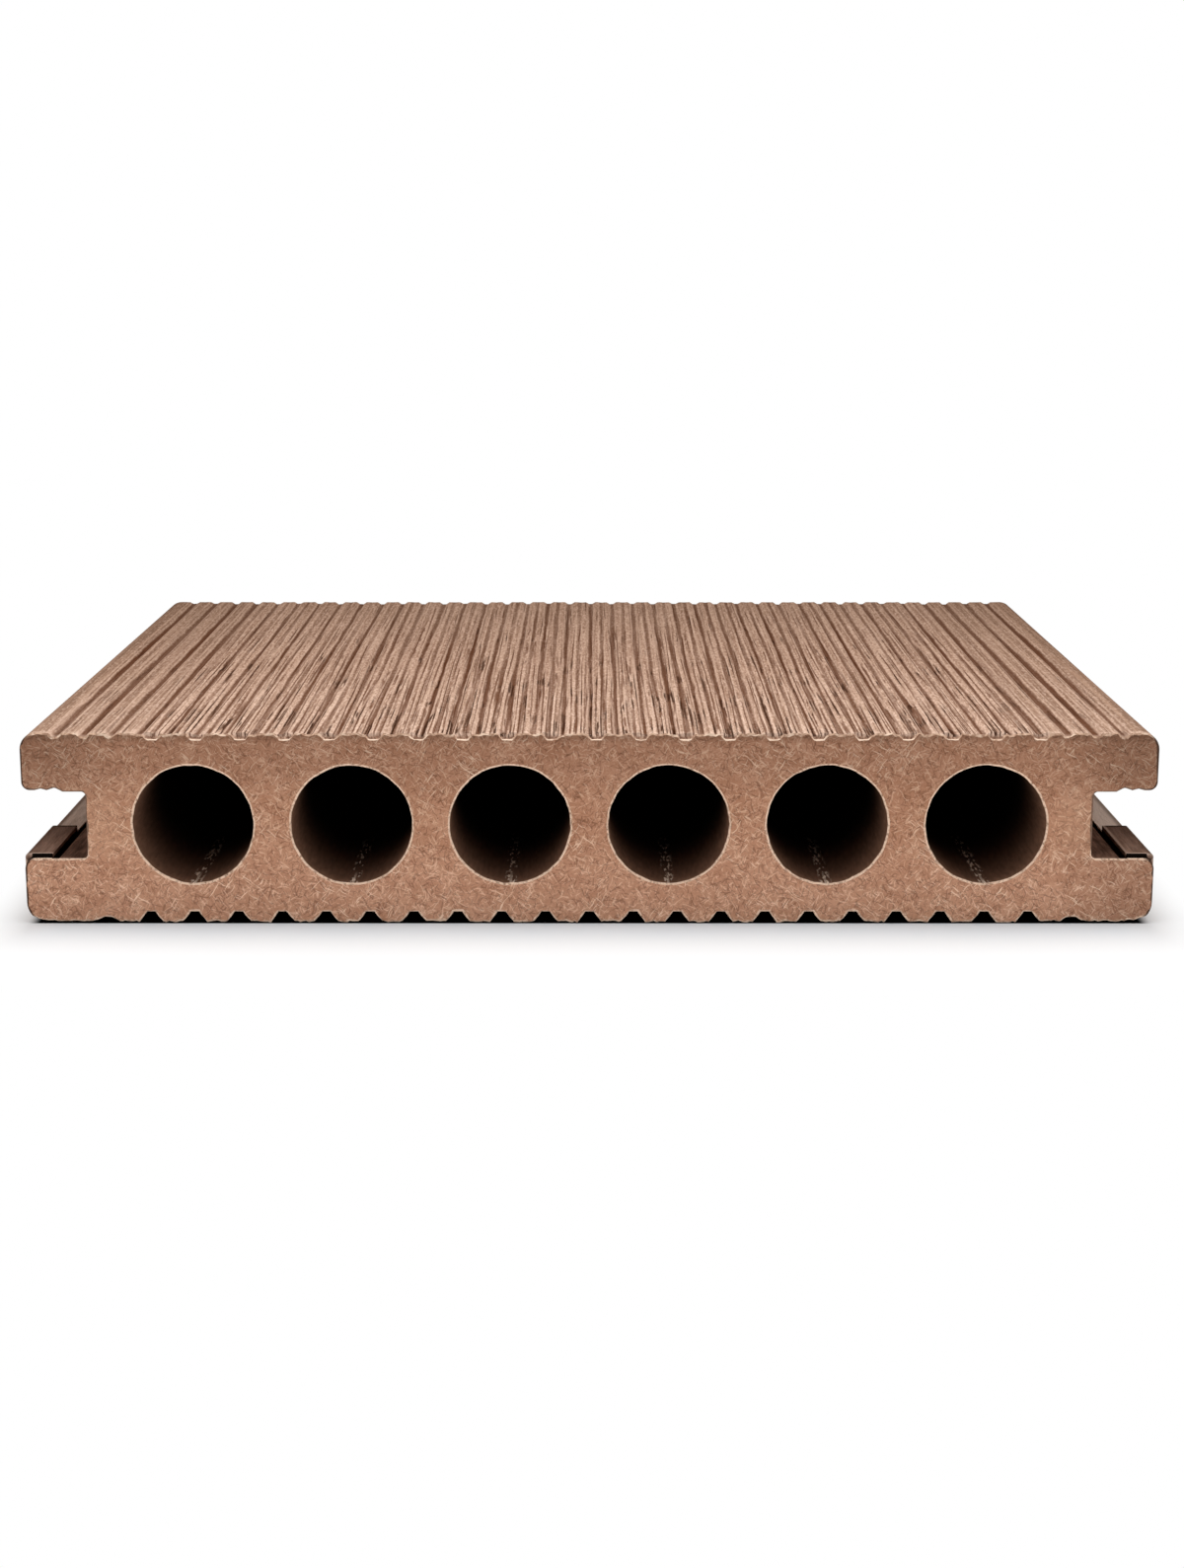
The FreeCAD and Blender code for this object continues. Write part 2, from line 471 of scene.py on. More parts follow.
def bore_rings(bore, rows, seed):
    """A bore's wall as arrays of x and z, one ring for each distance, widened at its two mouths."""
    angle = np.linspace(0.0, 2 * math.pi, BORE_SIDES, endpoint=False)
    centre_x, centre_z, radius = bore
    wall = radius + BORE_WAVE * field(angle * 3.0, rows[:, None] / 9.0, seed)
    ragged = RIM_RAGGED * field(angle * radius / 0.9, 0.5, seed + RIM_SEED)
    wall[0] = radius + RIM_BREAK + ragged
    wall[1] += 1.3 * ragged
    wall[-1] = radius + RIM_BREAK
    return centre_x + wall * np.cos(angle), centre_z + wall * np.sin(angle)


def inside(points, outline):
    """True for points within a closed outline."""
    hit = np.zeros(len(points), bool)
    for start, end in zip(outline, np.roll(outline, -1, axis=0)):
        crosses = (start[1] > points[:, 1]) != (end[1] > points[:, 1])
        rise = end[1] - start[1] if end[1] != start[1] else 1e-12
        at = start[0] + (points[:, 1] - start[1]) * (end[0] - start[0]) / rise
        hit ^= crosses & (points[:, 0] < at)
    return hit


def cap_points(outline, bores, seed):
    """Scattered points within an end face, clear of its edges."""
    low = outline.min(axis=0)
    high = outline.max(axis=0)
    columns = np.arange(low[0], high[0], CAP_STEP)
    lines = np.arange(low[1], high[1], CAP_STEP)
    grid = np.stack(np.meshgrid(columns, lines), -1).reshape(-1, 2)
    random = np.random.default_rng(SEED + seed)
    points = grid + random.uniform(-CAP_JITTER, CAP_JITTER, grid.shape) * CAP_STEP
    points = points[inside(points, outline)]
    for x, z, radius in bores:
        points = points[np.hypot(points[:, 0] - x, points[:, 1] - z) > radius + BORE_CLEARANCE]
    gaps = np.hypot(points[:, None, 0] - outline[None, :, 0], points[:, None, 1] - outline[None, :, 1])
    return points[gaps.min(axis=1) > CAP_CLEARANCE]


def cap_triangles(loops, scattered):
    """Triangles between an end's loops, the outline first and then the bores, and its scattered points."""
    flat = np.concatenate([*loops, scattered])
    edges = []
    start = 0
    for loop in loops:
        count = len(loop)
        edges += [(start + index, start + (index + 1) % count) for index in range(count)]
        start += count
    made = delaunay_2d_cdt([Vector(point) for point in flat], edges, [], 1, WELD)
    origin = [source[0] for source in made[3]]
    triangles = [[origin[index] for index in face] for face in made[2]]
    middles = np.array([flat[corners].mean(axis=0) for corners in triangles])
    hollow = np.any([inside(middles, ring) for ring in loops[1:]], axis=0)
    return [corners for corners, empty in zip(triangles, hollow) if not empty]


class Surface:
    """Vertices, faces and masks of one mesh, gathered piece by piece."""

    def __init__(self):
        self.points = []
        self.faces = []
        self.finishes = []
        self.masks = {"across": [], "slot": [], "gap": [], "bead": [], "notch": [], "seam": []}

    def add_points(self, x, y, z, **masks):
        """Adds points and gives the number of the first one."""
        first = len(self.points)
        self.points += np.stack([x, y, z], axis=-1).reshape(-1, 3).tolist()
        for name, values in self.masks.items():
            values += np.broadcast_to(masks.get(name, 0.0), np.shape(x)).reshape(-1).tolist()
        return first

    def add_faces(self, faces, finish):
        """Adds faces that share one finish."""
        self.faces += faces
        self.finishes += [finish] * len(faces)

    def add_tube(self, first, rows, columns, outward, finish):
        """Quads round a tube of rows; its first and last strips take the broken edge's finish."""
        for row in range(rows - 1):
            strip = []
            for column in range(columns):
                onward = (column + 1) % columns
                a = first + row * columns + column
                b = first + row * columns + onward
                quad = [a, a + columns, b + columns, b]
                strip.append(quad if outward else quad[::-1])
            self.add_faces(strip, BROKEN if row in (0, rows - 2) else finish)

    def build(self, name, materials):
        """The finished mesh object."""
        mesh = bpy.data.meshes.new(name)
        mesh.from_pydata([[value * MM for value in point] for point in self.points], [], self.faces)
        for material in materials:
            mesh.materials.append(material)
        mesh.polygons.foreach_set("material_index", self.finishes)
        mesh.polygons.foreach_set("use_smooth", [True] * len(self.faces))
        for mask, values in self.masks.items():
            mesh.attributes.new(mask, "FLOAT", "POINT").data.foreach_set("value", values)
        mesh.update()
        mesh.set_sharp_from_angle(angle=math.radians(SHARP_ANGLE))
        made = bpy.data.objects.new(name, mesh)
        bpy.context.scene.collection.objects.link(made)
        return made


SKIN, SAWN, BROKEN, BORE = range(4)


def add_bores(surface, rows, section):
    """Adds the bores' walls; gives each one's first point and its arrays of x and z."""
    walls = []
    for number, bore in enumerate(section.bores):
        x, z = bore_rings(bore, rows, BORE_SEED + number)
        y = np.broadcast_to(section.front + rows[:, None], x.shape)
        seam = np.where(z < bore[1], np.abs(x - bore[0]), NO_SEAM)
        first = surface.add_points(x, y, z, seam=seam)
        surface.add_tube(first, len(rows), BORE_SIDES, False, BORE)
        walls.append((first, x, z))
    return walls


def add_cap(surface, walls, row, section):
    """Closes the end at the walls' first or last row, with slight dents in it."""
    near = row == 0
    loops = [np.stack([x[row], z[row]], axis=1) for _, x, z in walls]
    scattered = cap_points(loops[0], section.bores, CAP_SEED + row)
    x, z = scattered.T
    dents = END_DENT * (1.0 + field(x / DENT_SIZE, z / DENT_SIZE, DENT_SEED + row))
    extra = surface.add_points(x, section.front + dents if near else section.back - dents, z)
    numbers = []
    for first, wall_x, _ in walls:
        columns = wall_x.shape[1]
        start = first if near else first + wall_x.size - columns
        numbers += range(start, start + columns)
    numbers += range(extra, extra + len(scattered))
    faces = []
    for triangle in cap_triangles(loops, scattered):
        face = [numbers[index] for index in triangle]
        faces.append(face if near else face[::-1])
    surface.add_faces(faces, SAWN)


def build_board(section, materials):
    """The board with its grain, cracks and torn edges, as one closed mesh."""
    outline = filled_outline(section)
    rows = row_distances(section.length, section.drop)
    x, z, masks = board_rows(outline, rows, section)
    y = np.broadcast_to(section.front + rows[:, None], x.shape)
    surface = Surface()
    first = surface.add_points(x, y, z, **masks)
    surface.add_tube(first, len(rows), len(outline), True, SKIN)
    between = rows[len(END_ROWS):-len(FAR_ROWS):BORE_ROW_SKIP]
    bore_rows = np.concatenate([rows[:len(END_ROWS)], between, rows[-len(FAR_ROWS):]])
    walls = [(first, x, z)] + add_bores(surface, bore_rows, section)
    for row in (0, -1):
        add_cap(surface, walls, row, section)
    return surface.build("board", materials)


class Nodes:
    """Adds shader nodes to one tree. Every input is a value or another node's socket."""

    def __init__(self, tree, coordinates, section=None):
        self.tree = tree
        self.section = section
        self.place = self.node("TexCoord").outputs[coordinates]

    def plug(self, socket, value):
        """Links a socket to another one, or sets its value."""
        if isinstance(value, bpy.types.NodeSocket):
            self.tree.links.new(value, socket)
        else:
            socket.default_value = value

    def node(self, kind, settings=None, **inputs):
        """A node with its settings and its named inputs."""
        made = self.tree.nodes.new("ShaderNode" + kind)
        for name, value in (settings or {}).items():
            setattr(made, name, value)
        for name, value in inputs.items():
            self.plug(made.inputs[name.replace("_", " ")], value)
        return made

    def maths(self, operation, first, second=0.0):
        """Result of a math node."""
        made = self.node("Math", {"operation": operation})
        self.plug(made.inputs[0], first)
        self.plug(made.inputs[1], second)
        return made.outputs[0]

    def faded(self, factor, strength):
        """A factor times a strength."""
        return self.maths("MULTIPLY", factor, strength)

    def weighed(self, *parts):
        """Sum of (value, weight) parts."""
        total = 0.0
        for value, weight in parts:
            total = self.maths("ADD", self.maths("MULTIPLY", value, weight), total)
        return total

    def less(self, value, part):
        """1, less a part of a value."""
        return self.weighed((value, -part), (1.0, 1.0))

    def mixed(self, factor, first, second, blend="MIX"):
        """Colour between two colours."""
        made = self.node("Mix", {"data_type": "RGBA", "blend_type": blend})
        self.plug(made.inputs[0], factor)
        for index, colour in ((6, first), (7, second)):
            self.plug(made.inputs[index], (*colour, 1.0) if isinstance(colour, tuple) else colour)
        return made.outputs[2]

    def over(self, colour, other, factor, strength=1.0):
        """A colour with another one laid over it, by a factor and a strength."""
        return self.mixed(self.faded(factor, strength), colour, other)

    def ramp(self, value, *stops):
        """Colour from a value by (place, colour) stops."""
        made = self.node("ValToRGB", Fac=value)
        steps = made.color_ramp.elements
        while len(steps) < len(stops):
            steps.new(0.5)
        for step, (place, colour) in zip(steps, stops):
            step.position = place
            step.color = (*colour, 1.0)
        return made.outputs["Color"]

    def spread(self, value, start, end):
        """0 to 1, smoothly, as a value goes from start up or down to end."""
        smooth = {"interpolation_type": "SMOOTHSTEP"}
        return self.node("MapRange", smooth, Value=value, From_Min=start, From_Max=end).outputs["Result"]

    def climb(self, value, start, end):
        """0 to 1, evenly, as a value goes from start up or down to end."""
        return self.node("MapRange", Value=value, From_Min=start, From_Max=end).outputs["Result"]

    def grain(self, size, detail=1.0, rough=0.5, bend=0.0, shift=0.0):
        """Noise whose features have a size in millimetres along each axis."""
        scale = [1.0 / (MM * value) for value in size]
        start = (shift, shift * 0.7, shift * 1.3)
        moved = self.node("Mapping", Vector=self.place, Scale=scale, Location=start).outputs[0]
        made = self.node("TexNoise", Vector=moved, Scale=1.0, Detail=detail, Roughness=rough, Distortion=bend)
        return made.outputs["Fac"]

    def mask(self, name):
        """A vertex mask by name."""
        return self.node("Attribute", {"attribute_name": name}).outputs["Fac"]

    def axis(self, name):
        """One coordinate of the place."""
        return self.node("SeparateXYZ", Vector=self.place).outputs[name]

    def off_middle(self, name):
        """Distance from the middle of the board along one axis."""
        return self.maths("ABSOLUTE", self.axis(name))

    def from_side(self, start, end):
        """0 to 1 between two distances in from the board's sides, in millimetres."""
        edge = self.section.edge
        return self.spread(self.off_middle("X"), (edge - start) * MM, (edge - end) * MM)

    def from_ends(self, start, end):
        """0 to 1 between two distances in from the board's ends, in millimetres."""
        back = self.section.back
        return self.spread(self.off_middle("Y"), (back - start) * MM, (back - end) * MM)

    def from_front(self, start, end):
        """0 to 1 between two distances behind the near end, in millimetres."""
        front = self.section.front
        return self.spread(self.axis("Y"), (front + start) * MM, (front + end) * MM)

    def from_top(self, start, end):
        """0 to 1 between two distances below the top, in millimetres."""
        top = self.section.top
        return self.spread(self.axis("Z"), (top - start) * MM, (top - end) * MM)

    def nearness(self):
        """1 at the near end and 0 at the far end."""
        return self.climb(self.axis("Y"), self.section.back * MM, self.section.front * MM)

    def shown(self):
        """1 for rays that see a surface directly, in a mirror or through glass."""
        path = self.node("LightPath")
        seen = self.maths("MAXIMUM", path.outputs["Is Camera Ray"], path.outputs["Is Glossy Ray"])
        return self.maths("MAXIMUM", seen, path.outputs["Is Transmission Ray"])

    def surface(self, colour, roughness, specular):
        """Gives the shader its colour, roughness and sheen."""
        shader = self.tree.nodes["Principled BSDF"]
        self.plug(shader.inputs["Base Color"], colour)
        self.plug(shader.inputs["Roughness"], roughness)
        self.plug(shader.inputs["Specular IOR Level"], specular)
        return shader

    def bumps(self, height, strength, depth):
        """Gives the shader fine bumps, with a depth in millimetres."""
        bump = self.node("Bump", Strength=strength, Distance=depth * MM, Height=height)
        self.plug(self.tree.nodes["Principled BSDF"].inputs["Normal"], bump.outputs[0])


def new_material(name, section):
    """An empty material and the nodes to paint it with."""
    made = bpy.data.materials.new(name)
    made.use_nodes = True
    return made, Nodes(made.node_tree, "Object", section)


# Colours of the brushed skin
STREAK_STOPS = (
    (0.41, (0.43, 0.266, 0.187)),
    (0.47, (0.49, 0.312, 0.222)),
    (0.53, (0.535, 0.348, 0.252)),
    (0.60, (0.62, 0.42, 0.312)),
)
# Painted shade: the skin grows darker toward the far end, in place of the lamp's falloff
FAR_PAINTED_SHADE = (
    (0.0, (0.46, 0.43, 0.405)),
    (0.6, (0.75, 0.72, 0.70)),
    (1.0, (1.0, 1.0, 1.0)),
)
LINE_FADE = (
    (0.0, (0.68,) * 3),
    (0.45, (0.9,) * 3),
    (1.0, (0.78,) * 3),
)
SKIN_PATCH = (0.42, 0.258, 0.178)
SKIN_PALE_FLECK = (0.82, 0.59, 0.47)
SKIN_DARK_FLECK = (0.25, 0.14, 0.093)
SIDE_DARK = (0.26, 0.156, 0.105)
SIDE_PALE = (0.41, 0.254, 0.176)
SIDE_FLECK = (0.62, 0.43, 0.33)
SIDE_EDGE_SHADE = (0.20, 0.112, 0.075)
BARE_FIBRE_AND_HIGHLIGHT = (0.80, 0.57, 0.445)
LINE_BROWN = (0.15, 0.056, 0.026)
GROOVE_BROWN_AND_SHADE = (0.12, 0.043, 0.019)
CRACK_BLACK = (0.03, 0.009, 0.003)
POCKET_DARK = (0.28, 0.145, 0.093)
POCKET_PALE = (0.54, 0.335, 0.238)


def even_lines(paint, spacing, width, shift):
    """Slightly wandering lines along the board, evenly spaced, and the pale lips beside them, for bare fibre
    and painted highlight.
    """
    sway = paint.grain((2.6, 70.0, 2.6), detail=0.0, shift=shift)
    jitter = paint.grain((0.9, 9.0, 0.9), shift=shift + 4.0)
    turn = paint.weighed((paint.axis("X"), 1.0 / (spacing * MM)), (sway, 2.0), (jitter, 0.2))
    off = paint.maths("SUBTRACT", paint.maths("FRACT", turn), 0.5)
    part = width / spacing / 2.0
    beside = paint.maths("SUBTRACT", off, 2.0 * part)
    lines = paint.spread(paint.maths("ABSOLUTE", off), part, part * 0.4)
    lips = paint.spread(paint.maths("ABSOLUTE", beside), part, part * 0.3)
    return lines, lips


def line_strength(paint, near, clean):
    """Strength of the lines in the grooves, and of the weaker ones midway between them."""
    between = paint.spread(paint.mask("across"), 0.8, 1.2)
    some = paint.spread(paint.grain((2.6, 60.0, 2.6), detail=0.0, shift=29.7), 0.3, 0.62)
    middle = paint.faded(paint.weighed((some, 0.55), (1.0, 0.35)), paint.less(clean, 0.8))
    grooves = paint.weighed((between, -0.97), (1.0, 0.97))
    strength = paint.maths("ADD", paint.faded(between, middle), grooves)
    each = paint.spread(paint.grain((3.4, 90.0, 3.4), shift=51.3), 0.3, 0.7)
    strength = paint.faded(strength, paint.weighed((each, 0.3), (clean, 0.06), (1.0, 0.78)))
    return paint.faded(strength, paint.ramp(near, *LINE_FADE))


def groove_lines(paint, near, clean):
    """Dark lines in the grooves and midway between them, partly painted shade on the groove walls, the pale
    bands beside them, and their cores.
    """
    spacing = paint.section.pitch / 2.0
    sway = paint.grain((6.0, 60.0, 6.0), detail=0.0, shift=9.3)
    jitter = paint.grain((0.8, 10.0, 0.8), shift=15.3)
    turn = paint.weighed(
        (paint.axis("X"), 1.0 / (spacing * MM)),
        (paint.maths("SUBTRACT", sway, 0.5), 0.3),
        (paint.maths("SUBTRACT", jitter, 0.5), 0.2),
        (1.0, 0.5 - paint.section.grooves[0] / spacing),
    )
    off = paint.maths("ABSOLUTE", paint.maths("SUBTRACT", paint.maths("FRACT", turn), 0.5))
    width = paint.grain((3.7, 30.0, 3.7), shift=18.9)
    half_width = paint.weighed((width, 0.2), (clean, 0.16))
    off = paint.maths("SUBTRACT", paint.maths("MULTIPLY", off, spacing), half_width)
    strength = line_strength(paint, near, clean)
    dark = paint.faded(paint.spread(off, 0.32, 0.03), strength)
    pale = paint.faded(paint.spread(off, 0.2, 0.36), paint.spread(off, 0.62, 0.42))
    core = paint.faded(paint.spread(off, 0.02, -0.05), strength)
    return dark, pale, core


def grain_lines(paint, near, core):
    """Fine dark lines between the grooves, their pale lips, and a few black cracks near the cut end."""
    where = paint.grain((3.0, 30.0, 3.0), shift=2.6)
    strong = paint.spread(paint.weighed((where, 1.0), (near, 0.3)), 0.5, 0.85)
    other = paint.grain((0.9, 24.0, 0.9), shift=12.6)
    weak = paint.spread(paint.weighed((other, 1.0), (near, 0.25)), 0.5, 0.78)
    lines, lips = even_lines(paint, 1.1, 0.34, 21.4)
    hairs, hair_lips = even_lines(paint, 0.7, 0.24, 27.8)
    dashes = paint.spread(paint.grain((0.5, 7.0, 0.5), shift=41.7), 0.42, 0.56)
    lines = paint.faded(paint.faded(lines, strong), dashes)
    lines = paint.maths("MAXIMUM", lines, paint.faded(hairs, weak))
    lips = paint.maths("MAXIMUM", paint.faded(lips, strong), paint.faded(hair_lips, weak))
    breaks = paint.grain((1.5, 13.0, 1.5), shift=33.1)
    open_part = paint.spread(paint.weighed((breaks, 1.0), (near, 0.22)), 0.74, 0.8)
    cracks = paint.faded(paint.maths("MAXIMUM", core, paint.faded(lines, 0.8)), open_part)
    return lines, lips, cracks


def streaky_colour(paint, streak, flecks):
    """Streaky, speckled brown of the top."""
    patch = paint.grain((7.0, 50.0, 7.0), detail=2.0, shift=7.7)
    colour = paint.ramp(streak, *STREAK_STOPS)
    colour = paint.over(colour, SKIN_PATCH, paint.spread(patch, 0.45, 0.7), 0.2)
    colour = paint.over(colour, SKIN_PALE_FLECK, paint.spread(flecks, 0.53, 0.64), 0.6)
    return paint.over(colour, SKIN_DARK_FLECK, paint.spread(flecks, 0.46, 0.35), 0.5)


def side_colour(paint, streak, flecks, colour):
    """The given colour, duller toward the sides, and darkest on them with painted shade on the rounded edges.
    """
    plain = paint.maths("SUBTRACT", 1.0, paint.from_side(*RIDGED_ZONE))
    clean = paint.from_side(*CLEAN_ZONE)
    shaded = paint.maths("MAXIMUM", paint.faded(clean, 0.5), paint.faded(plain, 0.85))
    duller = paint.mixed(paint.spread(streak, 0.42, 0.58), SIDE_DARK, SIDE_PALE)
    duller = paint.over(duller, SIDE_FLECK, paint.spread(flecks, 0.54, 0.64), 0.5)
    colour = paint.over(colour, duller, shaded)
    # Painted shade on the top's rounded outer edges
    return paint.over(colour, SIDE_EDGE_SHADE, paint.from_side(3.0, 0.5), 0.45)


def lined_colour(paint, near, colour):
    """The given colour with the lines of grooves and grain; also the grain's lines and cracks."""
    clean = paint.from_side(*CLEAN_ZONE)
    ridged = paint.from_side(*RIDGED_ZONE)
    busy = paint.faded(ridged, paint.less(clean, 0.6))
    front = paint.from_front(1.8, 0.3)
    dark, pale, core = groove_lines(paint, near, clean)
    lines, lips, cracks = [paint.faded(part, busy) for part in grain_lines(paint, near, core)]
    dark = paint.faded(paint.faded(dark, ridged), paint.less(front, 0.45))
    # Pale bare fibre and painted highlight along the near edge, on the ridges' edges and on the lines' lips
    colour = paint.over(colour, BARE_FIBRE_AND_HIGHLIGHT, front, 0.4)
    colour = paint.over(colour, BARE_FIBRE_AND_HIGHLIGHT, paint.faded(pale, ridged), 0.3)
    colour = paint.over(colour, BARE_FIBRE_AND_HIGHLIGHT, lips, 0.3)
    colour = paint.over(colour, LINE_BROWN, lines, 0.8)
    # Brown of the grooves together with painted shade on their walls
    colour = paint.over(colour, GROOVE_BROWN_AND_SHADE, dark)
    colour = paint.over(colour, CRACK_BLACK, cracks, 0.85)
    return colour, lines, cracks


# Colours of the slots and beads
LIT_LIP_DARK = (0.57, 0.422, 0.335)
LIT_LIP_PALE = (0.77, 0.595, 0.49)
LIT_LIP_RIGHT = (1.0, 0.82, 0.70)
SLOT_SHADE_DARK = (0.10, 0.055, 0.038)
SLOT_SHADE_PALE = (0.28, 0.16, 0.112)
BEAD_DARK = (0.29, 0.175, 0.126)
BEAD_PALE = (0.48, 0.305, 0.228)
BEAD_BACK_SHADE = (0.12, 0.07, 0.05)
BEAD_STEP_SHADE = (0.01, 0.006, 0.004)
BEAD_END_HIGHLIGHT = (0.80, 0.58, 0.46)
BEAD_INNER_HIGHLIGHT = (0.60, 0.43, 0.34)
LIP_EDGE_SHADE = (0.16, 0.09, 0.062)
GAP_SHADE = (0.006, 0.004, 0.003)


def bead_colour(paint, speck, right, colour):
    """The given colour, with beads in painted shade, black at their step, and a painted highlight at their near
    end.
    """
    bead = paint.mask("bead")
    bead_shade = paint.mixed(speck, BEAD_DARK, BEAD_PALE)
    # Painted shade, darker farther back and black at the bead's step
    bead_shade = paint.over(bead_shade, BEAD_BACK_SHADE, paint.from_front(0.0, 18.0), 0.75)
    bead_shade = paint.over(bead_shade, BEAD_STEP_SHADE, paint.from_front(15.8, 16.8), 0.85)
    colour = paint.over(colour, bead_shade, paint.spread(bead, 0.5, 1.0))
    # Painted highlights on the beads' near ends and on the right inner edge
    colour = paint.over(colour, BEAD_END_HIGHLIGHT, paint.spread(bead, 1.2, 1.8))
    inner = paint.faded(paint.from_side(3.1, 3.35), paint.spread(bead, 0.7, 1.0))
    return paint.over(colour, BEAD_INNER_HIGHLIGHT, paint.faded(inner, right), 0.6)


def slot_colour(paint, colour):
    """The given colour, with painted shade in the clip slots and painted light on the lips behind the beads."""
    in_slot = paint.mask("slot")
    right = paint.spread(paint.axis("X"), -0.01, 0.01)
    speck = paint.grain((0.8, 6.0, 0.8), detail=3.0, rough=0.6, shift=12.1)
    speck = paint.spread(speck, 0.3, 0.7)
    # Painted light on the lips behind the beads, stronger on the right side
    lit_lip = paint.over(paint.mixed(speck, LIT_LIP_DARK, LIT_LIP_PALE), LIT_LIP_RIGHT, right, 0.85)
    # Painted shade on the slots' floor and wall
    slot_shade = paint.mixed(speck, SLOT_SHADE_DARK, SLOT_SHADE_PALE)
    colour = paint.over(colour, lit_lip, paint.spread(in_slot, 0.1, 0.45))
    colour = paint.over(colour, slot_shade, paint.spread(in_slot, 0.55, 0.9))
    colour = bead_colour(paint, speck, right, colour)
    # Painted shade on the lips' rounded outer edges in the slots
    lip_edge_shade = paint.faded(paint.from_side(1.1, 0.3), paint.spread(in_slot, 0.1, 0.4))
    colour = paint.over(colour, LIP_EDGE_SHADE, lip_edge_shade, 0.7)
    # Painted shade, black in the gaps beside and ahead of the beads
    return paint.over(colour, GAP_SHADE, paint.spread(paint.mask("gap"), 0.1, 0.6))


def skin_material(section):
    """Brushed brown skin of the extrusion."""
    made, paint = new_material("brushed_skin", section)
    near = paint.nearness()
    hair = paint.grain((0.2, 9.0, 0.2), detail=2.0, rough=0.6)
    fine = paint.grain((0.42, 48.0, 0.42), shift=1.7)
    wide = paint.grain((1.2, 110.0, 1.2), detail=2.0, shift=3.1)
    flecks = paint.grain((0.27, 1.1, 0.27), shift=5.2)
    streak = paint.weighed((hair, 0.3), (fine, 0.6), (wide, 0.1))
    colour = streaky_colour(paint, streak, flecks)
    colour = side_colour(paint, streak, flecks, colour)
    colour, lines, cracks = lined_colour(paint, near, colour)
    pocket = paint.mixed(paint.spread(flecks, 0.4, 0.6), POCKET_DARK, POCKET_PALE)
    colour = paint.over(colour, pocket, paint.spread(paint.mask("notch"), 0.4, 0.9))
    colour = slot_colour(paint, colour)
    # Painted shade, darker toward the far end
    colour = paint.mixed(1.0, colour, paint.ramp(near, *FAR_PAINTED_SHADE), "MULTIPLY")
    dull = paint.node("MapRange", Value=fine, To_Min=0.7, To_Max=0.9).outputs["Result"]
    paint.surface(colour, dull, 0.0)
    height = paint.weighed((streak, 0.6), (flecks, 0.5), (lines, -0.5), (cracks, -0.8))
    paint.bumps(height, 0.9, 0.2)
    return made


# Colours of the sawn ends, and their fibres as (angle, seed)
SAWN_STOPS = (
    (0.38, (0.50, 0.244, 0.146)),
    (0.5, (0.575, 0.296, 0.184)),
    (0.62, (0.64, 0.346, 0.223)),
)
SAWN_SHADE = (
    (0.0, (1.0, 1.0, 1.0)),
    (0.25, (1.03, 1.03, 1.03)),
    (0.5, (0.91, 0.88, 0.85)),
    (0.65, (0.87, 0.84, 0.81)),
    (0.8, (0.77, 0.75, 0.73)),
    (0.945, (0.71, 0.69, 0.67)),
    (0.99, (0.45, 0.43, 0.41)),
)
SAWN_PATCH = (0.50, 0.25, 0.15)
SAWN_FLECK = (0.22, 0.098, 0.058)
SAWN_BLOCK = (0.85, 0.52, 0.34)
FIBRE_DARK = (0.25, 0.112, 0.066)
FIBRE_PALE = (0.90, 0.595, 0.42)
FIBRE_BRIGHT = (0.95, 0.68, 0.50)
BLACK = (0.0, 0.0, 0.0)
SHORT_FIBRES = ((15.0, 1.0), (60.0, 2.0), (105.0, 3.0), (150.0, 4.0))
SHORT_FIBRE_SIZE = (0.18, 1.25)
LONG_FIBRES = ((35.0, 5.0), (125.0, 6.0))
LONG_FIBRE_SIZE = (0.17, 1.9)
FIBRE_BEND = 1.6
FIBRE_SWAY = 0.75


def fibres(paint, size, angle, seed):
    """Noise drawn out into short curved strokes at an angle in the sawn face."""
    width, length = size
    bend = paint.node("TexNoise", Vector=paint.place, Scale=1.0 / (FIBRE_BEND * MM), Detail=1.0)
    sway = paint.node("VectorMath", {"operation": "SCALE"}, Vector=bend.outputs["Color"], Scale=FIBRE_SWAY * MM)
    curved = paint.node("VectorMath", {"operation": "ADD"})
    paint.plug(curved.inputs[0], paint.place)
    paint.plug(curved.inputs[1], sway.outputs[0])
    turned = paint.node("Mapping", {"vector_type": "TEXTURE"}, Vector=curved.outputs[0],
                        Rotation=(0.0, math.radians(angle), 0.0), Scale=(width * MM, MM, length * MM))
    made = paint.node("TexNoise", {"noise_dimensions": "4D"}, Vector=turned.outputs[0],
                      W=seed, Scale=1.0, Detail=0.5)
    return made.outputs["Fac"]


def fibrous(paint, colour, relief):
    """The given colour and relief with dark and pale fibres, and a few long bright ones."""
    for angle, seed in SHORT_FIBRES:
        strokes = fibres(paint, SHORT_FIBRE_SIZE, angle, seed)
        colour = paint.over(colour, FIBRE_DARK, paint.spread(strokes, 0.37, 0.29), 0.6)
        colour = paint.over(colour, FIBRE_PALE, paint.spread(strokes, 0.64, 0.72), 0.55)
        relief = paint.maths("MAXIMUM", relief, strokes)
    places = paint.spread(paint.grain((5.0, 5.0, 5.0), shift=13.3), 0.4, 0.6)
    for angle, seed in LONG_FIBRES:
        strokes = paint.spread(fibres(paint, LONG_FIBRE_SIZE, angle, seed), 0.66, 0.72)
        colour = paint.over(colour, FIBRE_BRIGHT, paint.faded(strokes, places), 0.8)
    return colour, relief


